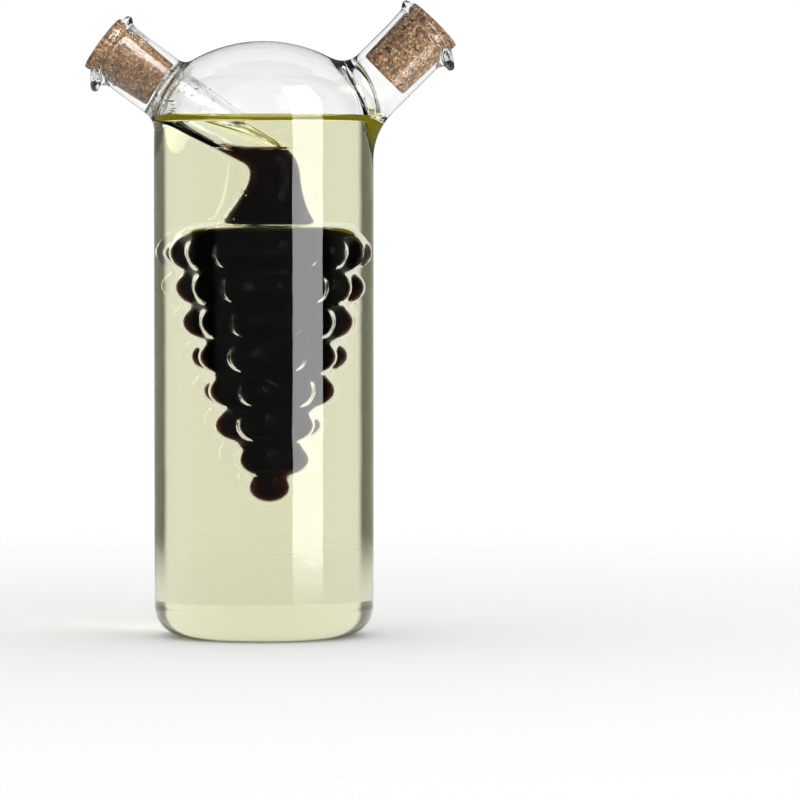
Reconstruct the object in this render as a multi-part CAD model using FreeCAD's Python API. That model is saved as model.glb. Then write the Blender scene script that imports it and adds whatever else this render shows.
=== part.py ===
import FreeCAD, Part
import math
import os

from FreeCAD import Placement, Rotation, Vector

# Oil and vinegar cruet in blown glass, all sizes in millimetres.
# The origin is the middle of the standing plane and +Z is up. Both necks lie in the XZ plane:
# the vinegar neck leans to -X and the oil neck to +X.

# Bottle
body_diameter = 66.0
body_wall = 1.8
dome_start = 157.0
dome_rise = 22.0
dome_corner_radius = 16.0
base_corner_radius = 9.0
floor_thickness = 2.6

# Necks: each leans by its angle above the horizontal, on a line from this height on the bottle's axis
vinegar_neck_angle = 36.3
vinegar_neck_start = 142.9
vinegar_neck_length = 57.8
vinegar_neck_radius = 9.4
vinegar_neck_wall = 1.1
vinegar_weld_radius = 2.0
oil_neck_angle = 45.0
oil_neck_start = 132.6
oil_neck_length = 70.9
oil_neck_radius = 9.9
oil_neck_wall = 1.2
oil_weld_radius = 5.0

# Rolled rim, drawn out into a pouring lip on the low side
bead_radius = 1.2
mouth_flare = 0.4
mouth_depth = 8.0
cork_seat_depth = 11.0
lip_reach = 2.1
lip_droop = 3.8
lip_half_angle = 38.0

# Corks, tapered to wedge in the mouths
cork_length = 22.0
cork_crown = 0.7
cork_chamfer = 0.7
cork_clearance = 0.15
vinegar_cork_top_radius = 8.95
vinegar_cork_bottom_radius = 7.3
vinegar_cork_rise = 1.4
oil_cork_top_radius = 9.0
oil_cork_bottom_radius = 8.1
oil_cork_rise = 1.0

# Flask blown as a cluster of grapes
flask_offset = 1.1
flask_wall = 1.2
grape_radius = 5.7
grape_pitch = 9.0
grape_rows = 7
row_pitch = 10.3
first_row_height = 115.3
top_row_reach = 22.9
bottom_row_reach = 9.7
cluster_bulge = 1.4
tip_drop = 8.4
core_cover = 2.6
shoulder_radius = 21.0
shoulder_height = 124.8
shoulder_round = 6.6
valley_softness = 0.5

# Stem of the flask, its elbow and the funnel that opens into the vinegar neck
neck_root = 24.0
funnel_overlap = 2.5
stem_foot_radius = 10.9
stem_foot_height = 126.3
stem_radius = 6.9
stem_height = 138.6
stem_offset = 2.3
elbow_radius = 9.0
elbow_web = 1.4
tube_radius = 6.4
tube_lift = 1.8
funnel_length = 16.0

# Liquids
oil_level = 154.6
vinegar_level = 145.0

# Spacing of the points that carry the free-form skins
grape_ring_points = 40
ring_step = 2.3
neck_sections = 18
touch = 0.02

body_radius = body_diameter / 2
tip_height_centre = first_row_height - row_pitch * (grape_rows - 1) - tip_drop
z_axis = Vector(0, 0, 1)
y_axis = Vector(0, 1, 0)
origin = Vector(0, 0, 0)


def revolved(edges):
    """Solid of revolution about Z from a closed outline in the XZ plane."""
    return Part.Face(Part.Wire(edges)).revolve(origin, z_axis, 360)


def bottle_solid(inset, floor):
    """The bottle's body as a full solid: its outside with no inset, its inside with the wall's."""
    side = body_radius - inset
    corner = base_corner_radius - inset
    turn = math.radians(45)
    corner_middle = Vector(side - corner + corner * math.sin(turn), 0, floor + corner - corner * math.cos(turn))
    corner_start = Vector(side - corner, 0, floor)
    corner_end = Vector(side, 0, floor + corner)
    foot = Vector(0, 0, floor)
    dome_foot = Vector(side, 0, dome_start)
    dome_top = Vector(0, 0, dome_start + dome_rise - inset)
    dome_corner = dome_corner_radius - inset
    rise = dome_rise - inset
    corner_reach = side - dome_corner
    crown = (rise**2 + corner_reach**2 - dome_corner**2) / (2 * (rise - dome_corner))
    crown_centre = Vector(0, 0, dome_start + rise - crown)
    corner_centre = Vector(corner_reach, 0, dome_start)
    to_meeting = corner_centre - crown_centre
    meeting_lean = math.atan2(to_meeting.x, to_meeting.z)
    corner_lean = (math.pi / 2 + meeting_lean) / 2

    def leaning(centre, radius, lean):
        return centre + Vector(radius * math.sin(lean), 0, radius * math.cos(lean))

    meeting = leaning(crown_centre, crown, meeting_lean)
    return revolved(
        [
            Part.makeLine(foot, corner_start),
            Part.Arc(corner_start, corner_middle, corner_end).toShape(),
            Part.makeLine(corner_end, dome_foot),
            Part.Arc(dome_foot, leaning(corner_centre, dome_corner, corner_lean), meeting).toShape(),
            Part.Arc(meeting, leaning(crown_centre, crown, meeting_lean / 2), dome_top).toShape(),
            Part.makeLine(dome_top, foot),
        ]
    )


class NeckFrame:
    """Places what belongs to a neck: distance along its axis, and reach towards its low side."""

    def __init__(self, angle, start, side):
        self.lean = math.radians(angle)
        self.side = side
        self.start = Vector(0, 0, start)
        self.along = Vector(side * math.cos(self.lean), 0, math.sin(self.lean))
        self.low = Vector(side * math.sin(self.lean), 0, -math.cos(self.lean))

    def point(self, distance, low=0.0):
        return self.start + self.along * distance + self.low * low

    def radial(self, turn):
        """Unit vector across the neck, at a turn from its low side."""
        return self.low * math.cos(turn) + y_axis * math.sin(turn)

    def stand(self, shape, distance):
        """Moves a shape made upright on the origin to a distance along the neck."""
        placed = shape.copy()
        tilt = self.side * (90 - math.degrees(self.lean))
        placed.Placement = Placement(self.point(distance), Rotation(y_axis, tilt))
        return placed


vinegar_frame = NeckFrame(vinegar_neck_angle, vinegar_neck_start, -1)
oil_frame = NeckFrame(oil_neck_angle, oil_neck_start, 1)


def cork_radius(top_radius, bottom_radius, depth):
    """Radius of a cork at a depth below its top."""
    return top_radius + (bottom_radius - top_radius) * depth / cork_length


def mouth_radius(top_radius, bottom_radius, rise):
    """Bore at the middle of the rim's bead, which the cork clears all round."""
    return cork_radius(top_radius, bottom_radius, rise + bead_radius) + cork_clearance


def lip_share(turn):
    """1 at the neck's low side, where the rim is drawn out, fading to 0 away from it."""
    from_low = math.degrees(min(turn, 2 * math.pi - turn))
    return math.exp(-((from_low / lip_half_angle) ** 2))


def neck_section(frame, turn, radius, wall, length, mouth, root):
    """Closed section of the neck's wall in the plane at one turn about its axis."""
    share = lip_share(turn)
    bore = radius - wall
    across = frame.radial(turn)

    def at(reach, distance):
        return frame.point(distance) + across * reach

    def around(centre_share, degrees):
        """Point on the bead's round, at a share of the way from the plain rim to the lip."""
        centre = mouth + bead_radius + lip_reach * centre_share
        height = length - lip_droop * centre_share
        angle = math.radians(degrees)
        return at(centre + bead_radius * math.cos(angle), height + bead_radius * math.sin(angle))

    bead_height = length - lip_droop * share
    wall_top = at(radius, length - mouth_depth)
    neckline = at(radius + 0.7 * mouth_flare, bead_height - 2.7 * bead_radius + 0.15 * lip_droop * share)
    under_lip = at(radius + mouth_flare + 0.45 * lip_reach * share, bead_height - 1.45 * bead_radius)
    rounds = [around(share, degrees) for degrees in (-55, -10, 40)]
    rounds.append(around(0.55 * share, 85))
    rounds.append(around(0.15 * share, 130))
    throat_height = length - 0.3 * bead_radius - 0.3 * lip_droop * share
    throat = at(mouth, throat_height)
    seat_end = at(bore, length - cork_seat_depth)
    down_seat = seat_end - throat
    down_seat.normalize()
    rim = Part.BSplineCurve()
    rim.interpolate(
        Points=[wall_top, neckline, under_lip] + rounds + [throat],
        InitialTangent=frame.along,
        FinalTangent=down_seat,
    )
    return Part.Wire(
        [
            Part.makeLine(at(bore, root), at(radius, root)),
            Part.makeLine(at(radius, root), wall_top),
            rim.toShape(),
            Part.makeLine(throat, seat_end),
            Part.makeLine(seat_end, at(bore, root)),
        ]
    )


def neck_tube(frame, radius, wall, length, mouth, root):
    """One drawn tube with its rolled rim and pouring lip, open at both ends."""
    turns = [2 * math.pi * (step / neck_sections + 0.5) for step in range(neck_sections)]
    sections = []
    for turn in turns:
        sections.append(neck_section(frame, turn % (2 * math.pi), radius, wall, length, mouth, root))
    return upright(Part.makeLoft(sections, True, False, True))


def upright(solid):
    """The same solid with its skin facing out."""
    if solid.Volume < 0:
        solid.reverse()
    return solid


def row_ring(row):
    """Radius of the ring on which a row's grapes have their centres."""
    share = row / (grape_rows - 1)
    reach = top_row_reach + (bottom_row_reach - top_row_reach) * share
    return reach + 4 * cluster_bulge * share * (1 - share) - grape_radius


def grape_centres():
    """Centres of the grapes, row by row down to the single one at the tip."""
    centres = []
    for row in range(grape_rows):
        ring = row_ring(row)
        count = round(2 * math.pi * ring / grape_pitch)
        for place in range(count):
            turn = 2 * math.pi * (place + 0.5 * (row % 2)) / count
            centres.append(
                Vector(ring * math.cos(turn), ring * math.sin(turn), first_row_height - row_pitch * row)
            )
    centres.append(Vector(0, 0, tip_height_centre))
    return centres


grapes = grape_centres()


def core_radius(height):
    """Radius of the body that fills the cluster behind its grapes."""
    row = (first_row_height - height) / row_pitch
    last_row = grape_rows - 1
    if row < last_row:
        return row_ring(max(row, 0)) + core_cover
    last_height = first_row_height - row_pitch * last_row
    to_tip = (last_height - height) / (last_height - tip_height_centre)
    return row_ring(last_row) * max(1 - to_tip, 0) + core_cover


def cluster_gap(point):
    """Distance from a point to the cluster's outside, negative within, with softened valleys."""
    reach = math.hypot(point.x, point.y)
    gaps = []
    for grape in grapes:
        if abs(point.z - grape.z) < 2 * grape_radius:
            gaps.append(point.distanceToPoint(grape) - grape_radius)
    rim = max(reach - (shoulder_radius - shoulder_round), 0)
    gaps.append(math.hypot(rim, point.z - (shoulder_height - shoulder_round)) - shoulder_round)
    gaps.append(max(reach - core_radius(point.z), point.z - first_row_height, tip_height_centre - point.z))
    nearest = min(gaps)
    weights = [math.exp((nearest - gap) / valley_softness) for gap in gaps]
    return nearest - valley_softness * math.log(sum(weights))


def cast(height, lift, turn, inset):
    """Where a ray from the flask's axis meets the cluster's skin, drawn in by the inset."""
    ray = Vector(math.cos(lift) * math.cos(turn), math.cos(lift) * math.sin(turn), math.sin(lift))
    reach = 1.4 * shoulder_radius
    for step in range(40):
        gap = cluster_gap(Vector(0, 0, height) + ray * reach) + inset
        reach -= 0.9 * gap
        if abs(gap) < 0.005:
            break
    return Vector(flask_offset, 0, height) + ray * reach


def cluster_rings(inset):
    """Rings of points over the cluster, fanned over its shoulder and round its tip."""
    top = shoulder_height - shoulder_round
    stations = []
    lift = 1.1
    while lift > 0.03:
        stations.append((top, lift))
        reach = min(shoulder_round / math.sin(lift), shoulder_radius)
        lift -= ring_step / reach
    steps = round((top - tip_height_centre) / ring_step)
    for step in range(steps + 1):
        stations.append((top - (top - tip_height_centre) * step / steps, 0.0))
    tip_steps = round(math.pi / 2 * grape_radius / ring_step)
    for step in range(1, tip_steps):
        stations.append((tip_height_centre, -math.pi / 2 * step / tip_steps))
    rings = []
    for height, lift in stations:
        turns = [2 * math.pi * step / grape_ring_points for step in range(grape_ring_points)]
        rings.append([cast(height, lift, turn, inset) for turn in turns])
    for ring in (rings[0], rings[-1]):
        level = sum(point.z for point in ring) / len(ring)
        for point in ring:
            point.z = level
    return rings


def sharpened(rings):
    """Poles whose cubic skin passes close by the given points, where plain ones would smooth them."""
    count = len(rings[0])

    def mix(before, here, after):
        return here * (4 / 3) - (before + after) * (1 / 6)

    across = []
    for ring in rings:
        across.append([mix(ring[place - 1], ring[place], ring[(place + 1) % count]) for place in range(count)])
    poles = [across[0]]
    for before, here, after in zip(across, across[1:], across[2:]):
        poles.append([mix(*trio) for trio in zip(before, here, after)])
    poles.append(across[-1])
    return poles


def skin_solid(rings):
    """Solid under one cubic skin that closes round its rings, with a flat face at each end."""
    poles = sharpened(rings)
    rows = len(poles)
    count = len(poles[0])
    skin = Part.BSplineSurface()
    skin.buildFromPolesMultsKnots(
        poles,
        [4] + [1] * (rows - 4) + [4],
        [1] * (count + 1),
        list(range(rows - 2)),
        list(range(count + 1)),
        False,
        True,
        3,
        3,
    )
    faces = [skin.toShape()]
    for end in (0, rows - 3):
        faces.append(Part.Face(Part.Wire([skin.uIso(end).toShape()])))
    shell = Part.makeShell(faces)
    shell.sewShape()
    return upright(Part.makeSolid(Part.Shell(shell.Faces)))


def eased(share):
    """0 to 1 with a soft start and end."""
    share = min(max(share, 0), 1)
    return share * share * (3 - 2 * share)


def section_ring(centre, lean, radius):
    """Round section square to a line that leans to -X from the vertical by an angle in radians."""
    ring = Part.makeCircle(radius)
    ring.Placement = Placement(centre, Rotation(y_axis, -math.degrees(lean)))
    return Part.Wire([ring])


def stem_solid(inset):
    """Stem, elbow, tube and funnel as one full solid, drawn in by the inset."""
    thick = 1 if inset == 0 else 0
    sections = []
    stem_run = stem_height - stem_foot_height
    for step in range(-1, 4):
        share = step / 4
        spread = (stem_foot_radius - stem_radius) * (1 - share) ** 1.5
        drift = flask_offset + (stem_offset - flask_offset) * eased(share)
        web = elbow_web * eased(share) * thick
        centre = Vector(drift - web / 2, 0, stem_foot_height + stem_run * share)
        sections.append((centre, 0.0, stem_radius + spread - inset + web / 2))
    turn = math.pi / 2 - vinegar_frame.lean
    start = vinegar_frame.point(0, -tube_lift)
    to_corner = (start.x - stem_offset) / math.cos(vinegar_frame.lean)
    corner = vinegar_frame.point(to_corner, -tube_lift)
    tangent = elbow_radius * math.tan(turn / 2)
    centre = Vector(stem_offset - elbow_radius, 0, corner.z - tangent)
    arc_steps = 4
    for step in range(arc_steps + 1):
        share = step / arc_steps
        lean = turn * share
        web = elbow_web * (1 - eased(share)) * thick
        inward = Vector(-math.cos(lean), 0, -math.sin(lean))
        point = centre + Vector(math.cos(lean), 0, math.sin(lean)) * elbow_radius + inward * (web / 2)
        radius = stem_radius + (tube_radius - stem_radius) * share
        sections.append((point, lean, radius - inset + web / 2))
    wall_distance = vinegar_wall_distance()
    end_radius = vinegar_neck_radius - vinegar_neck_wall / 2
    if inset > 0:
        end_radius = vinegar_neck_radius - vinegar_neck_wall + 0.05 + inset
    funnel_start = wall_distance - funnel_length
    tube_start = to_corner + tangent
    for step in (1, 2):
        sections.append(
            (vinegar_frame.point(tube_start + (funnel_start - tube_start) * step / 3, -tube_lift), turn, tube_radius - inset)
        )
    funnel_steps = 4
    for step in range(funnel_steps + 1):
        share = step / funnel_steps
        lift = tube_lift * (1 - eased(share))
        radius = tube_radius + (end_radius - tube_radius) * eased(share)
        sections.append((vinegar_frame.point(funnel_start + funnel_length * share, -lift), turn, radius - inset))
    sections.append((vinegar_frame.point(wall_distance + funnel_overlap), turn, end_radius - inset))
    return upright(Part.makeLoft([section_ring(*section) for section in sections], True))


def vinegar_wall_distance():
    """How far along the vinegar neck's axis the inside of the dome lies."""
    far_point = vinegar_frame.point(vinegar_neck_length)
    axis = Part.makeLine(vinegar_frame.point(neck_root), far_point)
    return vinegar_neck_length - axis.cut(bottle_room).Length


def flask_solid(inset):
    """The grape cluster with its stem and funnel: the outside with no inset, or the cavity."""
    cluster = skin_solid(cluster_rings(inset))
    return cluster.fuse(stem_solid(inset))


def cork(top_radius, bottom_radius):
    """Tapered cork standing on its narrow end, with eased edges and a slightly crowned top."""
    slope = (top_radius - bottom_radius) / cork_length
    bottom_side = Vector(bottom_radius + slope * cork_chamfer, 0, cork_chamfer)
    top_side = Vector(top_radius - slope * cork_chamfer, 0, cork_length - cork_chamfer)
    bottom_edge = Vector(bottom_radius - cork_chamfer, 0, 0)
    top_edge = Vector(top_radius - cork_chamfer, 0, cork_length)
    crown = Vector(0, 0, cork_length + cork_crown)
    crown_radius = (top_edge.x**2 + cork_crown**2) / (2 * cork_crown)
    half = top_edge.x / 2
    crown_middle = Vector(half, 0, crown.z - crown_radius + math.sqrt(crown_radius**2 - half**2))
    return revolved(
        [
            Part.makeLine(origin, bottom_edge),
            Part.makeLine(bottom_edge, bottom_side),
            Part.makeLine(bottom_side, top_side),
            Part.makeLine(top_side, top_edge),
            Part.Arc(top_edge, crown_middle, crown).toShape(),
            Part.makeLine(crown, origin),
        ]
    )


def seated_cork(frame, neck_length, rise, top_radius, bottom_radius):
    return frame.stand(cork(top_radius, bottom_radius), neck_length + bead_radius + rise - cork_length)


def below(level):
    """Block that holds everything in the bottle under a liquid's level."""
    side = 2 * body_diameter
    return Part.makeBox(side, side, level, Vector(-side / 2, -side / 2, 0))


def on_neck(frame, radius, point):
    """Whether a point lies on a neck's outside."""
    offset = point - frame.start
    reach = (offset - frame.along * offset.dot(frame.along)).Length
    return abs(reach - radius) < touch


def on_dome(point):
    """Whether a point lies on the bottle's outside, above its foot."""
    probe = Part.Vertex(point)
    return point.z > body_diameter and probe.distToShape(bottle_skin)[0] < touch


def weld_edges(glass, frame, radius):
    """Edges where the outside of a neck meets the outside of the bottle."""
    found = []
    for edge in glass.Edges:
        span = edge.LastParameter - edge.FirstParameter
        points = [edge.valueAt(edge.FirstParameter + span * share) for share in (0, 0.3, 0.5, 0.8, 1)]
        if all(on_neck(frame, radius, point) and on_dome(point) for point in points):
            found.append(edge)
    return found


def join_neck(glass, frame, radius, wall, length, mouth):
    """Opens the bottle under a neck and sets the drawn tube in the hole."""
    tube = neck_tube(frame, radius, wall, length, mouth, neck_root)
    hole = Part.makeCylinder(radius - wall / 2, length, frame.point(neck_root), frame.along)
    return glass.cut(hole).fuse(tube.cut(bottle_room))


def round_weld(glass, frame, radius, weld):
    return glass.makeFillet(weld, weld_edges(glass, frame, radius))


def glass_body():
    """Bottle, both necks and the inner flask, fused into one piece of glass."""
    vinegar_mouth = mouth_radius(vinegar_cork_top_radius, vinegar_cork_bottom_radius, vinegar_cork_rise)
    oil_mouth = mouth_radius(oil_cork_top_radius, oil_cork_bottom_radius, oil_cork_rise)
    bottle = join_neck(
        bottle_block.cut(bottle_room),
        vinegar_frame,
        vinegar_neck_radius,
        vinegar_neck_wall,
        vinegar_neck_length,
        vinegar_mouth,
    )
    bottle = join_neck(
        bottle,
        oil_frame,
        oil_neck_radius,
        oil_neck_wall,
        oil_neck_length,
        oil_mouth,
    )
    bottle = round_weld(bottle, oil_frame, oil_neck_radius, oil_weld_radius)
    bottle = round_weld(bottle, vinegar_frame, vinegar_neck_radius, vinegar_weld_radius)
    return bottle.fuse(flask_block.cut(flask_room))


bottle_block = bottle_solid(0, 0)
bottle_skin = bottle_block.Shells[0]
bottle_room = bottle_solid(body_wall, floor_thickness)
flask_block = flask_solid(0)
flask_room = flask_solid(flask_wall)

parts = {
    "glass_body": glass_body(),
    "oil": bottle_room.common(below(oil_level)).cut(flask_block),
    "vinegar": flask_room.common(below(vinegar_level)),
    "vinegar_cork": seated_cork(
        vinegar_frame,
        vinegar_neck_length,
        vinegar_cork_rise,
        vinegar_cork_top_radius,
        vinegar_cork_bottom_radius,
    ),
    "oil_cork": seated_cork(
        oil_frame,
        oil_neck_length,
        oil_cork_rise,
        oil_cork_top_radius,
        oil_cork_bottom_radius,
    ),
}

os.makedirs("parts", exist_ok=True)
for name, shape in parts.items():
    solid = shape.Solids[0]
    print(name, len(shape.Solids), solid.isValid(), round(solid.Volume, 1))
    solid.exportStep("parts/" + name + ".step")
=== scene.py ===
import math

import bpy
import numpy as np
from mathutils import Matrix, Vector


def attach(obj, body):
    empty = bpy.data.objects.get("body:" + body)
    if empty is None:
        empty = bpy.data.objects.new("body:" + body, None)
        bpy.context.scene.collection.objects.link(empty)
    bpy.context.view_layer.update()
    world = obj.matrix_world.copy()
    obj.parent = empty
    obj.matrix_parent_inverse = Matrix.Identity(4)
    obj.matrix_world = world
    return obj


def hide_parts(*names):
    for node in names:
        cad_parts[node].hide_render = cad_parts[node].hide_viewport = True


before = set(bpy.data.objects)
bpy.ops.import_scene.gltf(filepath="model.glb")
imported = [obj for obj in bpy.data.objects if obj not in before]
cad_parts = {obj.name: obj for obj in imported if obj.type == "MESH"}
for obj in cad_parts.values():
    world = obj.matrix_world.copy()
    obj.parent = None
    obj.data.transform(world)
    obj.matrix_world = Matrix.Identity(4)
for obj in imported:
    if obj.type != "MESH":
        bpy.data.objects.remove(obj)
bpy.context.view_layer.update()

# Oil and vinegar cruet in blown glass. The shapes below are worked in millimetres, Z up from the foot.

# Bottle
BODY_RADIUS = 33.0
BODY_WALL = 1.8
FLOOR_THICKNESS = 2.6
FOOT_ROUND = 9.0
DOME_START = 157.0
DOME_RISE = 22.0
DOME_CORNER = 16.0

# Rolled rim and pouring lip
BEAD_RADIUS = 1.2
MOUTH_FLARE = 0.4
MOUTH_DEPTH = 8.0
SEAT_DEPTH = 11.0
LIP_REACH = 2.1
LIP_DROOP = 3.8
LIP_HALF_ANGLE = 38.0
LIP_OVERRUN = 1.2
RIM_SOFTNESS = 1.6
NECK_ROOT = 24.0

# Corks
CORK_LENGTH = 22.0
CORK_CLEARANCE = 0.15
CORK_CHAMFER = 0.7
CORK_CROWN = 0.54
CORK_WEAR = 0.06

# Grape cluster
FLASK_OFFSET = 1.1
FLASK_WALL = 1.2
GRAPE_RADIUS = 5.7
GRAPE_PITCH = 9.0
GRAPE_ROWS = 7
ROW_PITCH = 10.3
FIRST_ROW_HEIGHT = 115.3
TIP_DROP = 8.4
TOP_ROW_REACH = 22.9
BOTTOM_ROW_REACH = 9.7
CLUSTER_BULGE = 1.4
CORE_COVER = 2.6
SHOULDER_RADIUS = 21.0
SHOULDER_HEIGHT = 124.8
SHOULDER_ROUND = 6.6
VALLEY_SOFTNESS = 0.75
SHOULDER_SOFTNESS = 1.5

# Stem, elbow and funnel of the flask
STEM_FOOT_RADIUS = 10.9
STEM_FOOT_HEIGHT = 126.3
STEM_RADIUS = 6.9
STEM_HEIGHT = 138.6
STEM_OFFSET = 2.3
STEM_SPREAD_LIMIT = 1.5
STEM_SPREAD_POWER = 1.5
ELBOW_RADIUS = 9.0
TUBE_RADIUS = 6.4
TUBE_LIFT = 1.8
FUNNEL_LENGTH = 16.0
FUNNEL_OVERLAP = 2.0
FUNNEL_TRIM = 0.5
FUNNEL_SINK = 0.55
FUNNEL_BORE_OVERLAP = 0.25

# Liquids
OIL_LEVEL = 154.6
VINEGAR_LEVEL = 145.0
CREEP_HEIGHT = 2.1
CREEP_REACH = 1.1
LIQUID_GAP = 0.03
OIL_TOP = OIL_LEVEL + CREEP_HEIGHT
VINEGAR_TOP = VINEGAR_LEVEL + CREEP_HEIGHT

# How strongly each substance bends light. The last stands for two that are alike.
GLASS_IOR = 1.47
OIL_IOR = 1.467
VINEGAR_IOR = 1.345
SAME_IOR = 1.001

MM = 0.001


class Neck:
    """One slanted neck: distances run along its axis, and turns are counted from its low side."""

    def __init__(self, side, lean, start, length, radius, wall, weld, cork_top, cork_bottom, cork_rise):
        self.start = start
        self.length = length
        self.radius = radius
        self.bore = radius - wall
        self.weld = weld
        self.cork_top = cork_top
        self.cork_bottom = cork_bottom
        self.cork_rise = cork_rise
        self.lean = math.radians(lean)
        self.along = (side * math.cos(self.lean), math.sin(self.lean))
        self.low = (side * math.sin(self.lean), -math.cos(self.lean))
        self.cork_slope = (cork_bottom - cork_top) / CORK_LENGTH
        self.mouth = cork_top + self.cork_slope * (cork_rise + BEAD_RADIUS) + CORK_CLEARANCE

    def distance(self, x, z):
        """How far along the axis a place lies."""
        return x * self.along[0] + (z - self.start) * self.along[1]

    def lowness(self, x, z):
        """How far to the low side of the axis a place lies."""
        return x * self.low[0] + (z - self.start) * self.low[1]

    def point(self, distance, low=0.0):
        """Place at a distance along the axis and to its low side."""
        x = self.along[0] * distance + self.low[0] * low
        return x, self.start + self.along[1] * distance + self.low[1] * low


VINEGAR_NECK = Neck(
    side=-1,
    lean=36.3,
    start=142.9,
    length=57.8,
    radius=9.4,
    wall=1.1,
    weld=2.6,
    cork_top=8.95,
    cork_bottom=7.3,
    cork_rise=1.4,
)
OIL_NECK = Neck(
    side=1,
    lean=45.0,
    start=132.6,
    length=70.9,
    radius=9.9,
    wall=1.2,
    weld=6.0,
    cork_top=9.0,
    cork_bottom=8.1,
    cork_rise=1.0,
)


def eased(share):
    """0 to 1 with a soft start and end."""
    share = np.clip(share, 0, 1)
    return share * share * (3 - 2 * share)


def melted(first, second, reach):
    """Two forms run together, as hot glass does, over a short reach."""
    mix = np.clip(0.5 + 0.5 * (second - first) / reach, 0, 1)
    return second * (1 - mix) + first * mix - reach * mix * (1 - mix)


def bottle_body(x, y, z, inset, floor):
    """Gap to the bottle's body: its outside with no inset, its room with the wall's. Negative inside."""
    reach = np.hypot(x, y)
    side = BODY_RADIUS - inset
    foot = FOOT_ROUND - inset
    across = reach - (side - foot)
    down = floor + foot - z
    rounded = np.hypot(np.maximum(across, 0), np.maximum(down, 0))
    lower = rounded + np.minimum(np.maximum(across, down), 0) - foot
    corner_reach = BODY_RADIUS - DOME_CORNER
    crown = (DOME_RISE**2 + corner_reach**2 - DOME_CORNER**2) / (2 * (DOME_RISE - DOME_CORNER))
    crown_height = DOME_START + DOME_RISE - crown
    over = np.arctan2(corner_reach, DOME_START - crown_height)
    lean = np.arctan2(reach, z - crown_height)
    corner = np.hypot(reach - corner_reach, z - DOME_START) - (DOME_CORNER - inset)
    top = np.hypot(reach, z - crown_height) - (crown - inset)
    dome = np.where(lean < over, top, corner)
    upper = np.where(z > DOME_START, dome, reach - side)
    return np.where(z > DOME_START / 2, upper, lower)


def room(x, y, z):
    """The space inside the bottle's body."""
    return bottle_body(x, y, z, BODY_WALL, FLOOR_THICKNESS)


def neck_outside(neck, x, y, z):
    """A neck as a full solid, with its rolled rim and its lip drawn out on the low side."""
    distance = neck.distance(x, z)
    low = neck.lowness(x, z)
    reach = np.hypot(low, y)
    lip = np.exp(-((np.degrees(np.arctan2(y, low)) / LIP_HALF_ANGLE) ** 2))
    rim = neck.length - LIP_DROOP * lip
    lip_depth = 3 * BEAD_RADIUS
    flare = MOUTH_FLARE * eased((distance - neck.length + MOUTH_DEPTH) / MOUTH_DEPTH)
    flare = flare + 0.5 * LIP_REACH * lip * eased((distance - rim + lip_depth) / lip_depth)
    bead = neck.mouth + BEAD_RADIUS + LIP_REACH * lip
    dip = LIP_DROOP * lip * np.clip((reach - neck.mouth) / (bead - neck.mouth), 0, LIP_OVERRUN)
    cap = (distance - neck.length + dip) / np.hypot(1, LIP_DROOP * lip / (bead - neck.mouth))
    tube = np.maximum(np.maximum(reach - neck.radius - flare, cap), NECK_ROOT - distance)
    roll = np.hypot(reach - bead, distance - rim) - BEAD_RADIUS
    return melted(tube, roll, RIM_SOFTNESS)


def neck_bore(neck, x, y, z):
    """The way through a neck, which widens to the cork's seat."""
    distance = neck.distance(x, z)
    reach = np.hypot(neck.lowness(x, z), y)
    seat = np.clip((distance - neck.length + SEAT_DEPTH) / SEAT_DEPTH, 0, 1)
    return np.maximum(reach - neck.bore - (neck.mouth - neck.bore) * seat, NECK_ROOT - distance)


def bottle(x, y, z):
    """Bottle and necks in glass."""
    outside = bottle_body(x, y, z, 0, 0)
    hollow = room(x, y, z)
    for neck in (VINEGAR_NECK, OIL_NECK):
        outside = melted(outside, neck_outside(neck, x, y, z), neck.weld)
        hollow = np.minimum(hollow, neck_bore(neck, x, y, z))
    return np.maximum(outside, -hollow)


def row_ring(row):
    """Radius of the ring on which a row's grapes have their centres."""
    share = row / (GRAPE_ROWS - 1)
    reach = TOP_ROW_REACH + (BOTTOM_ROW_REACH - TOP_ROW_REACH) * share
    return reach + 4 * CLUSTER_BULGE * share * (1 - share) - GRAPE_RADIUS


def row_height(row):
    """Height of a row's grapes."""
    return FIRST_ROW_HEIGHT - ROW_PITCH * row


TIP_HEIGHT = row_height(GRAPE_ROWS - 1) - TIP_DROP


def grape_centres():
    """Centres of the grapes, row by row down to the single one at the tip."""
    centres = []
    for row in range(GRAPE_ROWS):
        ring = row_ring(row)
        count = round(2 * math.pi * ring / GRAPE_PITCH)
        for place in range(count):
            turn = 2 * math.pi * (place + 0.5 * (row % 2)) / count
            east = FLASK_OFFSET + ring * math.cos(turn)
            centres.append((east, ring * math.sin(turn), row_height(row)))
    centres.append((FLASK_OFFSET, 0.0, TIP_HEIGHT))
    return centres


GRAPES = grape_centres()


def nearness(gap):
    """How strongly a form draws the cluster's skin to itself. The sum of all gives the soft valleys."""
    limit = 60
    return np.exp(-np.clip(gap / VALLEY_SOFTNESS, -limit, limit))


def grape_cluster(x, y, z, inset):
    """The cluster of grapes with its round shoulder and softened valleys."""
    reach = np.hypot(x - FLASK_OFFSET, y)
    over = np.maximum(reach - (SHOULDER_RADIUS - SHOULDER_ROUND), 0)
    shoulder = np.hypot(over, z - (SHOULDER_HEIGHT - SHOULDER_ROUND)) - SHOULDER_ROUND
    rows = [row_ring(row) for row in range(GRAPE_ROWS)] + [0.0]
    heights = [row_height(row) for row in range(GRAPE_ROWS)] + [TIP_HEIGHT]
    ring = np.interp(-z, [-height for height in heights], rows)
    core = np.maximum(reach - ring - CORE_COVER, np.maximum(z - FIRST_ROW_HEIGHT, TIP_HEIGHT - z))
    total = nearness(shoulder) + nearness(core)
    for east, north, height in GRAPES:
        gap = np.sqrt((x - east) ** 2 + (y - north) ** 2 + (z - height) ** 2) - GRAPE_RADIUS
        total = total + nearness(gap)
    return inset - VALLEY_SOFTNESS * np.log(total)


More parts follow.
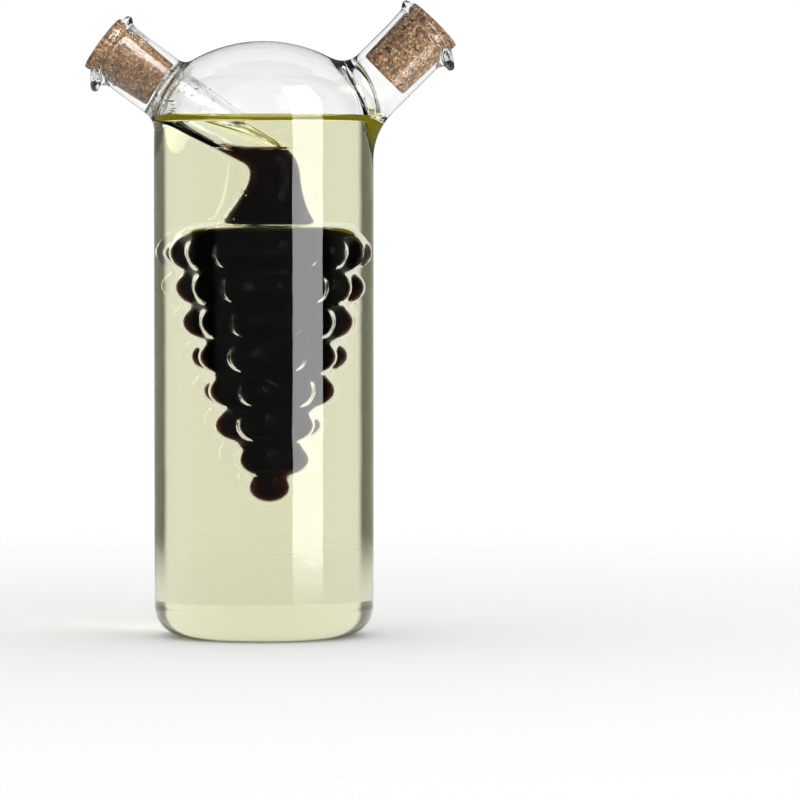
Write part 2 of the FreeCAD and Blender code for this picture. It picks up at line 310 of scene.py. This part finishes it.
def funnel_end():
    """How far along the vinegar neck the inside of the dome lies."""
    steps = 600
    distances = np.linspace(NECK_ROOT, VINEGAR_NECK.length, steps)
    east, height = VINEGAR_NECK.point(distances)
    return float(distances[np.argmax(room(east, 0 * east, height) > 0)])


FUNNEL_END = funnel_end()


def flask_stem(x, y, z, inset):
    """Stem, elbow, tube and funnel, as one bent tube that widens at both ends."""
    neck = VINEGAR_NECK
    turn = math.pi / 2 - neck.lean
    start_x, start_z = neck.point(0, -TUBE_LIFT)
    corner = start_z + (STEM_OFFSET - start_x) * neck.along[1] / neck.along[0]
    centre_x = STEM_OFFSET - ELBOW_RADIUS
    centre_z = corner - ELBOW_RADIUS * math.tan(turn / 2)
    share = (z - STEM_FOOT_HEIGHT) / (STEM_HEIGHT - STEM_FOOT_HEIGHT)
    drift = FLASK_OFFSET + (STEM_OFFSET - FLASK_OFFSET) * eased(share)
    spread = np.clip(1 - share, 0, STEM_SPREAD_LIMIT) ** STEM_SPREAD_POWER
    spread = (STEM_FOOT_RADIUS - STEM_RADIUS) * spread
    stem = np.hypot(x - drift, y) - STEM_RADIUS - spread
    swing = np.arctan2(z - centre_z, x - centre_x)
    bend_radius = STEM_RADIUS + (TUBE_RADIUS - STEM_RADIUS) * np.clip(swing / turn, 0, 1)
    bend = np.hypot(np.hypot(x - centre_x, z - centre_z) - ELBOW_RADIUS, y) - bend_radius
    distance = neck.distance(x, z)
    widening = eased((distance - FUNNEL_END + FUNNEL_LENGTH) / FUNNEL_LENGTH)
    if inset == 0:
        end_radius = neck.radius - FUNNEL_SINK
    else:
        end_radius = neck.bore + inset - FUNNEL_BORE_OVERLAP
    funnel_radius = TUBE_RADIUS + (end_radius - TUBE_RADIUS) * widening
    low = neck.lowness(x, z) + TUBE_LIFT * (1 - widening)
    funnel = np.maximum(np.hypot(low, y) - funnel_radius, distance - FUNNEL_END - FUNNEL_OVERLAP)
    path = np.where(z < centre_z, stem, np.where((swing >= 0) & (swing <= turn), bend, funnel))
    return np.maximum(path + inset, SHOULDER_HEIGHT - 2 * FLASK_WALL - z)


def flask_body(x, y, z, inset):
    """The grape cluster with its stem melted on, drawn in by an inset."""
    return melted(grape_cluster(x, y, z, inset), flask_stem(x, y, z, inset), SHOULDER_SOFTNESS)


def flask_outside(x, y, z):
    return flask_body(x, y, z, 0)


def flask_inside(x, y, z):
    return flask_body(x, y, z, FLASK_WALL)


def flask(x, y, z):
    """Grape flask in glass, open where its funnel meets the vinegar neck."""
    distance = VINEGAR_NECK.distance(x, z)
    shell = np.maximum(flask_outside(x, y, z), -flask_inside(x, y, z))
    return np.maximum(shell, distance - FUNNEL_END - FUNNEL_OVERLAP + FUNNEL_TRIM)


def oil_room(x, y, z):
    """Where oil can stand: the bottle's room and the foot of its own neck."""
    return np.minimum(room(x, y, z), neck_bore(OIL_NECK, x, y, z))


def creeping_height(level, gap):
    """Height of a liquid's surface, which creeps up the glass beside it."""
    return level + CREEP_HEIGHT * np.exp(-np.maximum(gap, 0) / CREEP_REACH)


def oil_height(x, y, z):
    """Height of the oil's surface, which creeps up bottle and flask alike."""
    gap = np.minimum(-oil_room(x, y, z), np.abs(flask_outside(x, y, z)))
    return creeping_height(OIL_LEVEL, gap)


def oil(x, y, z):
    """Oil between the bottle and the flask."""
    glass = np.maximum(oil_room(x, y, z), -flask_outside(x, y, z)) + LIQUID_GAP
    return np.maximum(glass, z - oil_height(x, y, z))


def vinegar_height(x, y, z):
    """Height of the vinegar's surface, which creeps up the stem."""
    return creeping_height(VINEGAR_LEVEL, -flask_inside(x, y, z))


def vinegar(x, y, z):
    """Vinegar in the flask."""
    return np.maximum(flask_inside(x, y, z) + LIQUID_GAP, z - vinegar_height(x, y, z))


def crossings(depth, cells, axes):
    """Mean of the places where the skin crosses each cell's edges."""
    total = np.zeros((len(cells), 3))
    hits = np.zeros(len(cells))
    for axis in range(3):
        others = [other for other in range(3) if other != axis]
        for first in (0, 1):
            for second in (0, 1):
                near = cells.copy()
                near[:, others[0]] += first
                near[:, others[1]] += second
                far = near.copy()
                far[:, axis] += 1
                near_depth = depth[tuple(near.T)]
                far_depth = depth[tuple(far.T)]
                cut = (near_depth < 0) != (far_depth < 0)
                share = np.where(cut, near_depth / np.where(cut, near_depth - far_depth, 1), 0)
                hits += cut
                for other in range(3):
                    start = axes[other][near[:, other]]
                    end = axes[other][far[:, other]]
                    total[:, other] += np.where(cut, start + (end - start) * share, 0)
    return total / hits[:, None]


def skin_quads(solid, number):
    """One four-sided face for each grid edge that the skin crosses, wound to face out."""
    quads = []
    for axis in range(3):
        low = [slice(None)] * 3
        high = [slice(None)] * 3
        low[axis] = slice(None, -1)
        high[axis] = slice(1, None)
        lower = solid[tuple(low)]
        place = np.argwhere(lower != solid[tuple(high)])
        outward = lower[tuple(place.T)]
        step_one = np.eye(3, dtype=int)[(axis + 1) % 3]
        step_two = np.eye(3, dtype=int)[(axis + 2) % 3]
        ring = [place - step_one - step_two, place - step_two, place, place - step_one]
        quad = np.stack([number[tuple(corner.T)] for corner in ring], axis=1)
        quad[~outward] = quad[~outward][:, ::-1]
        quads.append(quad)
    return np.concatenate(quads)


def slope_of(form, points):
    """Direction in which a form's gap grows fastest, at each point."""
    slope = np.empty_like(points)
    step = 0.02
    for axis in range(3):
        ahead = points.copy()
        behind = points.copy()
        ahead[:, axis] += step
        behind[:, axis] -= step
        slope[:, axis] = (form(*ahead.T) - form(*behind.T)) / (2 * step)
    return slope


def grown(form, axes):
    """Points, faces and normals of a form's skin, on a grid with its own spacing along each axis."""
    depth = form(*np.meshgrid(*axes, indexing="ij"))
    solid = depth < 0
    settling_rounds = 3
    longest_shift = 0.5
    least_slope = 0.25
    sizes = [len(axis) - 1 for axis in axes]
    corners = sum(
        solid[i : i + sizes[0], j : j + sizes[1], k : k + sizes[2]].astype(np.int8)
        for i in (0, 1)
        for j in (0, 1)
        for k in (0, 1)
    )
    crossed = (corners > 0) & (corners < 8)
    cells = np.argwhere(crossed)
    number = np.full(sizes, -1)
    number[crossed] = np.arange(len(cells))
    points = crossings(depth, cells, axes)
    for settle in range(settling_rounds):
        slope = slope_of(form, points)
        steep = np.maximum((slope**2).sum(axis=1), least_slope)
        shift = slope * (form(*points.T) / steep)[:, None]
        points -= np.clip(shift, -longest_shift, longest_shift)
    normals = slope_of(form, points)
    normals /= np.maximum(np.linalg.norm(normals, axis=1), 1e-9)[:, None]
    return points, skin_quads(solid, number), normals


def spaced(*stretches):
    """Grid places from stretches of (start, end, step)."""
    places = [np.arange(start, end, step) for start, end, step in stretches]
    return np.concatenate(places + [[stretches[-1][1]]])


def smooth_piece(name, points, quads, finishes):
    """Smooth mesh object from points in millimetres."""
    mesh = bpy.data.meshes.new(name)
    mesh.from_pydata((points * MM).tolist(), [], quads.tolist())
    for finish in finishes:
        mesh.materials.append(finish)
    mesh.polygons.foreach_set("use_smooth", np.ones(len(quads), dtype=bool))
    mesh.update()
    piece = bpy.data.objects.new(name, mesh)
    bpy.context.scene.collection.objects.link(piece)
    return piece


def blown_piece(name, form, axes, finishes, choose=None):
    """Piece with a form's own normals. A chooser picks the finish of each face by its middle."""
    points, quads, normals = grown(form, axes)
    piece = smooth_piece(name, points, quads, finishes)
    if choose is not None:
        choice = choose(*points[quads].mean(axis=1).T)
        piece.data.polygons.foreach_set("material_index", choice.astype(np.int32))
    piece.data.normals_split_custom_set_from_vertices(normals.tolist())
    return piece


def ring_quads(rings, turns):
    """Four-sided faces between neighbouring rings of points."""
    place = np.arange(rings * turns).reshape(rings, turns)
    after = np.roll(place, -1, axis=1)
    return np.stack([place[:-1], after[:-1], after[1:], place[1:]], axis=2).reshape(-1, 4)


def new_group(name, inputs, outputs):
    """Shader node group with named inputs (with their defaults) and outputs."""
    group = bpy.data.node_groups.new(name, "ShaderNodeTree")
    for label, kind, value in inputs:
        socket = group.interface.new_socket(label, in_out="INPUT", socket_type=kind)
        socket.default_value = value
    for label, kind in outputs:
        group.interface.new_socket(label, in_out="OUTPUT", socket_type=kind)
    return group, group.nodes.new("NodeGroupInput"), group.nodes.new("NodeGroupOutput")


def add(tree, kind, **settings):
    """Shader node of a kind, with its settings."""
    node = tree.nodes.new("ShaderNode" + kind)
    for key, value in settings.items():
        setattr(node, key, value)
    return node


def handworked_group():
    """Slow waves in hand-worked glass or still liquid, with a faint tint and a trace of haze."""
    group, inputs, outputs = new_group(
        "handworked surface",
        [
            ("Tint", "NodeSocketColor", (0.97, 0.99, 0.98, 1)),
            ("Wave Size", "NodeSocketFloat", 60.0),
            ("Haze", "NodeSocketFloat", 0.004),
        ],
        [("Color", "NodeSocketColor"), ("Roughness", "NodeSocketFloat"), ("Height", "NodeSocketFloat")],
    )
    place = add(group, "TexCoord")
    waves = add(group, "TexNoise")
    waves.inputs["Detail"].default_value = 1.0
    tint = add(group, "MixRGB")
    tint.inputs["Color1"].default_value = (1, 1, 1, 1)
    haze = add(group, "Math", operation="MULTIPLY")
    links = group.links
    links.new(place.outputs["Object"], waves.inputs["Vector"])
    links.new(inputs.outputs["Wave Size"], waves.inputs["Scale"])
    links.new(waves.outputs["Fac"], tint.inputs["Fac"])
    links.new(inputs.outputs["Tint"], tint.inputs["Color2"])
    links.new(waves.outputs["Fac"], haze.inputs[0])
    links.new(inputs.outputs["Haze"], haze.inputs[1])
    links.new(tint.outputs["Color"], outputs.inputs["Color"])
    links.new(haze.outputs["Value"], outputs.inputs["Roughness"])
    links.new(waves.outputs["Fac"], outputs.inputs["Height"])
    return group


HANDWORKED = handworked_group()


def new_finish(name):
    """New material, its node tree and its Principled BSDF."""
    finish = bpy.data.materials.new(name)
    finish.use_nodes = True
    return finish, finish.node_tree, finish.node_tree.nodes["Principled BSDF"]


def clear_finish(name, ior, tint, wave_size=30.0, wave_depth=0.0):
    """Clear surface between two substances, whose light bends by the ratio of theirs."""
    finish, tree, shader = new_finish(name)
    surface = tree.nodes.new("ShaderNodeGroup")
    surface.node_tree = HANDWORKED
    surface.inputs["Tint"].default_value = tint
    surface.inputs["Wave Size"].default_value = wave_size
    ripple = add(tree, "Bump")
    ripple.inputs["Strength"].default_value = 1.0
    ripple.inputs["Distance"].default_value = wave_depth
    shader.inputs["IOR"].default_value = ior
    shader.inputs["Transmission Weight"].default_value = 1.0
    tree.links.new(surface.outputs["Color"], shader.inputs["Base Color"])
    tree.links.new(surface.outputs["Roughness"], shader.inputs["Roughness"])
    tree.links.new(surface.outputs["Height"], ripple.inputs["Height"])
    tree.links.new(ripple.outputs["Normal"], shader.inputs["Normal"])
    return finish


def dyed_liquid(name, tint, absorbed, density):
    """Body of a liquid: nothing bends at its sides, and its depth gives the colour."""
    finish = clear_finish(name, SAME_IOR, tint)
    tree = finish.node_tree
    depth = add(tree, "VolumeAbsorption")
    depth.inputs["Color"].default_value = absorbed
    depth.inputs["Density"].default_value = density
    tree.links.new(depth.outputs["Volume"], tree.nodes["Material Output"].inputs["Volume"])
    return finish


def oil_face_with_painted_glow():
    """The oil's open face, with a painted olive glow: emission over the whole face stands in for the light
    its edge gathers from the whole bottle.
    """
    finish = clear_finish("oil face painted glow", OIL_IOR, tint=(0.80, 0.76, 0.28, 1))
    shader = finish.node_tree.nodes["Principled BSDF"]
    # Painted glow: an olive emission of its own over the whole oil face, though it is no lamp.
    shader.inputs["Emission Color"].default_value = (0.30, 0.26, 0.013, 1)
    shader.inputs["Emission Strength"].default_value = 0.6
    return finish


def pressed_cork():
    """Pressed cork: tan granules of many shades, dark bark flecks and small pits."""
    granules_to_a_metre = 900.0
    finish, tree, shader = new_finish("pressed cork")
    place = add(tree, "TexCoord")
    granules = add(tree, "TexVoronoi")
    granules.inputs["Scale"].default_value = granules_to_a_metre
    shades = add(tree, "ValToRGB")
    shades.color_ramp.elements[0].color = (0.20, 0.092, 0.034, 1)
    shades.color_ramp.elements[1].color = (0.66, 0.41, 0.20, 1)
    middle = shades.color_ramp.elements.new(0.5)
    middle.color = (0.46, 0.26, 0.11, 1)
    grey = add(tree, "SeparateColor")
    flecks = add(tree, "TexNoise")
    flecks.inputs["Scale"].default_value = 620.0
    flecks.inputs["Detail"].default_value = 3.0
    dark = add(tree, "MapRange")
    dark.inputs["From Min"].default_value = 0.59
    dark.inputs["From Max"].default_value = 0.66
    bark = add(tree, "MixRGB")
    bark.inputs["Color2"].default_value = (0.05, 0.022, 0.011, 1)
    seams = add(tree, "TexVoronoi", feature="DISTANCE_TO_EDGE")
    seams.inputs["Scale"].default_value = granules_to_a_metre
    groove = add(tree, "MapRange")
    groove.inputs["From Max"].default_value = 0.14
    gaps = add(tree, "MixRGB")
    gaps.inputs["Color1"].default_value = (0.13, 0.056, 0.02, 1)
    relief = add(tree, "Math", operation="SUBTRACT")
    pits = add(tree, "Bump")
    pits.inputs["Strength"].default_value = 0.7
    pits.inputs["Distance"].default_value = 0.0004
    rough = add(tree, "MapRange")
    rough.inputs["To Min"].default_value = 0.75
    rough.inputs["To Max"].default_value = 0.95
    links = tree.links
    for texture in (granules, flecks, seams):
        links.new(place.outputs["Object"], texture.inputs["Vector"])
    links.new(granules.outputs["Color"], grey.inputs["Color"])
    links.new(grey.outputs["Red"], shades.inputs["Fac"])
    links.new(flecks.outputs["Fac"], dark.inputs["Value"])
    links.new(dark.outputs["Result"], bark.inputs["Fac"])
    links.new(shades.outputs["Color"], bark.inputs["Color1"])
    links.new(bark.outputs["Color"], gaps.inputs["Color2"])
    links.new(groove.outputs["Result"], gaps.inputs["Fac"])
    links.new(gaps.outputs["Color"], shader.inputs["Base Color"])
    links.new(seams.outputs["Distance"], groove.inputs["Value"])
    links.new(groove.outputs["Result"], relief.inputs[0])
    links.new(dark.outputs["Result"], relief.inputs[1])
    links.new(relief.outputs["Value"], pits.inputs["Height"])
    links.new(pits.outputs["Normal"], shader.inputs["Normal"])
    links.new(flecks.outputs["Fac"], rough.inputs["Value"])
    links.new(rough.outputs["Result"], shader.inputs["Roughness"])
    return finish


CLEAR = (0.985, 0.995, 0.99, 1)
GLASS_IN_AIR = clear_finish("glass in air", GLASS_IOR, CLEAR, wave_size=55.0, wave_depth=0.00012)
GLASS_IN_OIL = clear_finish("glass wetted by oil", GLASS_IOR / OIL_IOR, CLEAR, wave_size=55.0)
GLASS_IN_VINEGAR = clear_finish(
    "glass wetted by vinegar", GLASS_IOR / VINEGAR_IOR, CLEAR, wave_size=90.0, wave_depth=0.0001
)
OIL_FACE_PAINTED_GLOW = oil_face_with_painted_glow()
VINEGAR_FACE = clear_finish("vinegar face", VINEGAR_IOR, tint=(0.95, 0.38, 0.10, 1))
OIL_BODY = dyed_liquid("oil", tint=(1.0, 1.0, 0.97, 1), absorbed=(0.68, 0.665, 0.29, 1), density=15.0)
VINEGAR_BODY = dyed_liquid(
    "vinegar", tint=(1.0, 0.93, 0.9, 1), absorbed=(0.5, 0.3, 0.24, 1), density=1400.0
)
PRESSED_CORK = pressed_cork()


def bottle_finish(x, y, z):
    """1 where the bottle's glass is wetted by oil, 0 elsewhere."""
    skin_depth = 0.4
    return (np.abs(oil_room(x, y, z)) < skin_depth) & (z < OIL_TOP)


def make_bottle():
    """Bottle and necks. The grid is fine where the necks and the dome bend, and coarse down the side."""
    fine = 0.62
    coarse = 1.25
    axes = (
        spaced((-57, -22, fine), (-22, 21, coarse), (21, 61, fine)),
        spaced((-34.5, -13, coarse), (-13, 13, fine), (13, 34.5, coarse)),
        spaced((-1.5, 12, 0.9), (12, 126, 9.0), (126, 193, 0.66)),
    )
    piece = blown_piece("bottle", bottle, axes, [GLASS_IN_AIR, GLASS_IN_OIL], bottle_finish)
    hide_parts("glass_body")
    return piece


def flask_finish(x, y, z):
    """2 where the flask is wetted by vinegar, 1 where it is wetted by oil, 0 elsewhere."""
    inner = np.abs(flask_inside(x, y, z)) < np.abs(flask_outside(x, y, z))
    in_oil = ~inner & (z < OIL_TOP)
    in_vinegar = inner & (z < VINEGAR_TOP)
    return np.where(in_vinegar, 2, np.where(in_oil, 1, 0))


def make_flask():
    step = 0.7
    axes = (spaced((-42, 26, step)), spaced((-25, 25, step)), spaced((38, 178, step)))
    finishes = [GLASS_IN_AIR, GLASS_IN_OIL, GLASS_IN_VINEGAR]
    return blown_piece("grape_flask", flask, axes, finishes, flask_finish)


def open_face(name, level, holder, height, finish, island=None):
    """Sheet of a liquid's open face in its holder, round an island of glass if there is one."""
    turns = 200
    edge_rings = 16
    inner_rings = 30
    edge_reach = 1.7
    angle = 2 * math.pi * np.arange(turns) / turns
    reaches = np.arange(0, BODY_RADIUS + FOOT_ROUND, 0.05)[:, None]
    east = reaches * np.cos(angle)
    north = reaches * np.sin(angle)
    wet = holder(east, north, level + 0 * east) < -LIQUID_GAP
    edge = reaches[np.argmin(wet, axis=0), 0]
    rings = [edge - CREEP_REACH * share**2 for share in np.linspace(0, edge_reach, edge_rings)]
    rings += [rings[-1] * share for share in np.linspace(1, 0, inner_rings)[1:]]
    reach = np.stack(rings)
    x = reach * np.cos(angle)
    y = reach * np.sin(angle)
    z = height(x, y, level + 0 * x) + LIQUID_GAP
    points = np.stack([x, y, z], axis=2).reshape(-1, 3)
    quads = ring_quads(len(rings), turns)
    if island is not None:
        quads = quads[island(*points[quads].mean(axis=1).T) > 0]
    return smooth_piece(name, points, quads, [finish])


def make_oil():
    step = 0.9
    axes = (
        spaced((-33, 37, step)),
        spaced((-33, 33, step)),
        spaced((1, 12, 1.0), (12, 38, 5.0), (38, 150, 1.4), (150, 159, 0.5)),
    )
    body = blown_piece("oil_fill", oil, axes, [OIL_BODY])
    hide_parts("oil")
    face = open_face("oil_face", OIL_LEVEL, oil_room, oil_height, OIL_FACE_PAINTED_GLOW, island=flask_outside)
    return body, face


def make_vinegar():
    step = 0.9
    axes = (spaced((-23, 25, step)), spaced((-24, 24, step)), spaced((39, 142, step), (142, 149, 0.5)))
    body = blown_piece("vinegar_fill", vinegar, axes, [VINEGAR_BODY])
    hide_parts("vinegar")
    face = open_face("vinegar_face", VINEGAR_LEVEL, flask_inside, vinegar_height, VINEGAR_FACE)
    return body, face


def cork_outline(neck):
    """Reach and height of a cork's skin, from the middle of its foot to the middle of its crown."""
    end_shares = (0.0, 0.3, 0.6, 0.85)
    corner_steps = 4
    side_steps = 24
    leans = [math.pi / 2 * step / corner_steps for step in range(corner_steps + 1)]
    outline = [(neck.cork_bottom * share, 0.0) for share in end_shares]
    for lean in leans:
        reach = neck.cork_bottom - CORK_CHAMFER * (1 - math.sin(lean))
        outline.append((reach, CORK_CHAMFER * (1 - math.cos(lean))))
    for step in range(1, side_steps):
        height = CORK_CHAMFER + (CORK_LENGTH - 2 * CORK_CHAMFER) * step / side_steps
        outline.append((neck.cork_bottom - neck.cork_slope * height, height))
    for lean in leans:
        reach = neck.cork_top - CORK_CHAMFER * (1 - math.cos(lean))
        outline.append((reach, CORK_LENGTH - CORK_CHAMFER * (1 - math.sin(lean))))
    for share in reversed(end_shares):
        outline.append((neck.cork_top * share, CORK_LENGTH + CORK_CROWN * (1 - share**2)))
    return outline


def make_cork(name, neck, body):
    """Tapered cork turned round its neck's axis, its edges rubbed soft and its skin lightly pitted."""
    turns = 96
    angle = 2 * math.pi * np.arange(turns) / turns
    pitting = np.random.default_rng(len(name))
    rings = []
    for reach, height in cork_outline(neck):
        wear = pitting.uniform(0.0, CORK_WEAR, turns) if 0 < reach else np.zeros(turns)
        worn = np.maximum(reach - wear, 0)
        rings.append(np.stack([worn * np.cos(angle), worn * np.sin(angle), np.full(turns, height)], axis=1))
    low, across, height = np.concatenate(rings).T
    foot = neck.length + BEAD_RADIUS + neck.cork_rise - CORK_LENGTH
    east, up = neck.point(foot + height, low)
    points = np.stack([east, across, up], axis=1)
    piece = smooth_piece(name + "_turned", points, ring_quads(len(rings), turns), [PRESSED_CORK])
    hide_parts(name)
    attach(piece, body)
    return piece


def make_cruet():
    """The whole cruet: glass, liquids and corks."""
    oil_pieces = make_oil()
    vinegar_pieces = make_vinegar()
    for piece in (make_bottle(), make_flask()):
        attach(piece, "cruet")
    for piece in oil_pieces:
        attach(piece, "cruet")
    for piece in vinegar_pieces:
        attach(piece, "cruet")
    make_cork("oil_cork", OIL_NECK, "oil_stopper")
    make_cork("vinegar_cork", VINEGAR_NECK, "vinegar_stopper")


def pale_floor():
    """Pale floor that fades into the white round it."""
    half = 4.0
    level = -0.0001
    mesh = bpy.data.meshes.new("floor")
    corners = [(-half, -half, level), (half, -half, level), (half, half, level), (-half, half, level)]
    mesh.from_pydata(corners, [], [(0, 1, 2, 3)])
    finish, tree, shader = new_finish("pale floor")
    shader.inputs["Roughness"].default_value = 0.9
    shader.inputs["Base Color"].default_value = (0.93, 0.93, 0.93, 1)
    place = add(tree, "TexCoord")
    reach = add(tree, "VectorMath", operation="LENGTH")
    fade = add(tree, "MapRange", interpolation_type="SMOOTHSTEP")
    fade.inputs["From Min"].default_value = 0.10
    fade.inputs["From Max"].default_value = 0.55
    away = add(tree, "BsdfTransparent")
    both = add(tree, "MixShader")
    tree.links.new(place.outputs["Object"], reach.inputs[0])
    tree.links.new(reach.outputs["Value"], fade.inputs["Value"])
    tree.links.new(fade.outputs["Result"], both.inputs["Fac"])
    tree.links.new(shader.outputs["BSDF"], both.inputs[1])
    tree.links.new(away.outputs["BSDF"], both.inputs[2])
    tree.links.new(both.outputs["Shader"], tree.nodes["Material Output"].inputs["Surface"])
    mesh.materials.append(finish)
    floor = bpy.data.objects.new("floor", mesh)
    bpy.context.scene.collection.objects.link(floor)


def studio_surround():
    """White surround, with soft grey screens on both sides that draw the edges of the glass."""
    world = bpy.data.worlds.new("studio")
    world.use_nodes = True
    bpy.context.scene.world = world
    tree = world.node_tree
    light = tree.nodes["Background"]
    light.inputs["Color"].default_value = (1, 1, 1, 1)
    place = add(tree, "TexCoord")
    parts = add(tree, "SeparateXYZ")
    azimuth = add(tree, "Math", operation="ARCTAN2")
    double = add(tree, "Math", operation="MULTIPLY")
    double.inputs[1].default_value = 2.0
    wave = add(tree, "Math", operation="COSINE")
    shift = add(tree, "Math", operation="ADD")
    shift.inputs[1].default_value = 0.55
    width = add(tree, "Math", operation="ABSOLUTE")
    screens = add(tree, "MapRange", interpolation_type="SMOOTHSTEP")
    screens.inputs["From Min"].default_value = 0.22
    screens.inputs["From Max"].default_value = 0.5
    screens.inputs["To Min"].default_value = 0.12
    screens.inputs["To Max"].default_value = 1.0
    path = add(tree, "LightPath")
    plain = add(tree, "Math", operation="MAXIMUM")
    dimmed = add(tree, "MapRange")
    dimmed.inputs["To Min"].default_value = 1.0
    dimmed.inputs["To Max"].default_value = 0.12
    shown = add(tree, "Math", operation="MULTIPLY")
    choose = add(tree, "Mix")
    screened, white = choose.inputs[2], choose.inputs[3]
    white.default_value = 1.0
    links = tree.links
    links.new(place.outputs["Generated"], parts.inputs["Vector"])
    links.new(parts.outputs["X"], azimuth.inputs[0])
    links.new(parts.outputs["Y"], azimuth.inputs[1])
    links.new(azimuth.outputs["Value"], double.inputs[0])
    links.new(double.outputs["Value"], wave.inputs[0])
    links.new(wave.outputs["Value"], shift.inputs[0])
    links.new(shift.outputs["Value"], width.inputs[0])
    links.new(width.outputs["Value"], screens.inputs["Value"])
    links.new(path.outputs["Is Camera Ray"], plain.inputs[0])
    links.new(path.outputs["Is Diffuse Ray"], plain.inputs[1])
    links.new(plain.outputs["Value"], choose.inputs["Factor"])
    links.new(path.outputs["Is Reflection Ray"], dimmed.inputs["Value"])
    links.new(screens.outputs["Result"], shown.inputs[0])
    links.new(dimmed.outputs["Result"], shown.inputs[1])
    links.new(shown.outputs["Value"], screened)
    links.new(choose.outputs[0], light.inputs["Strength"])


def softbox(name, azimuth, distance, height, width, tall, brightness, seen_by_matt):
    """Soft panel aimed at the cruet. The azimuth is counted from the front, towards the oil spout."""
    aim_height = 0.09
    lamp = bpy.data.lights.new(name, "AREA")
    lamp.shape = "RECTANGLE"
    lamp.size = width
    lamp.size_y = tall
    lamp.energy = brightness * math.pi * width * tall
    panel = bpy.data.objects.new(name, lamp)
    turn = math.radians(azimuth)
    panel.location = (distance * math.sin(turn), -distance * math.cos(turn), height)
    aim = Vector((0, 0, aim_height)) - panel.location
    panel.rotation_euler = aim.to_track_quat("-Z", "Y").to_euler()
    panel.visible_diffuse = seen_by_matt
    panel.visible_camera = False
    bpy.context.scene.collection.objects.link(panel)


def photo_camera():
    """Camera straight in front, a little above the middle of the bottle."""
    distance = 1.6
    view_width = 0.241
    eye_height = 0.13
    aim = Vector((0.041, 0.0, 0.071))
    camera = bpy.data.cameras.new("camera")
    camera.sensor_width = 36.0
    camera.lens = camera.sensor_width * distance / view_width
    eye = bpy.data.objects.new("camera", camera)
    eye.location = (aim.x, -distance, eye_height)
    eye.rotation_euler = (aim - eye.location).to_track_quat("-Z", "Y").to_euler()
    bpy.context.scene.collection.objects.link(eye)
    bpy.context.scene.camera = eye


make_cruet()
pale_floor()
studio_surround()
softbox(
    "strip softbox",
    azimuth=48,
    distance=1.0,
    height=0.2,
    width=0.62,
    tall=2.4,
    brightness=7.5,
    seen_by_matt=False,
)
softbox(
    "soft front light",
    azimuth=35,
    distance=1.2,
    height=0.7,
    width=0.8,
    tall=0.8,
    brightness=0.9,
    seen_by_matt=True,
)
photo_camera()
bpy.context.scene.view_settings.view_transform = "Standard"
bpy.context.scene.cycles.max_bounces = 18
bpy.context.scene.cycles.transmission_bounces = 18
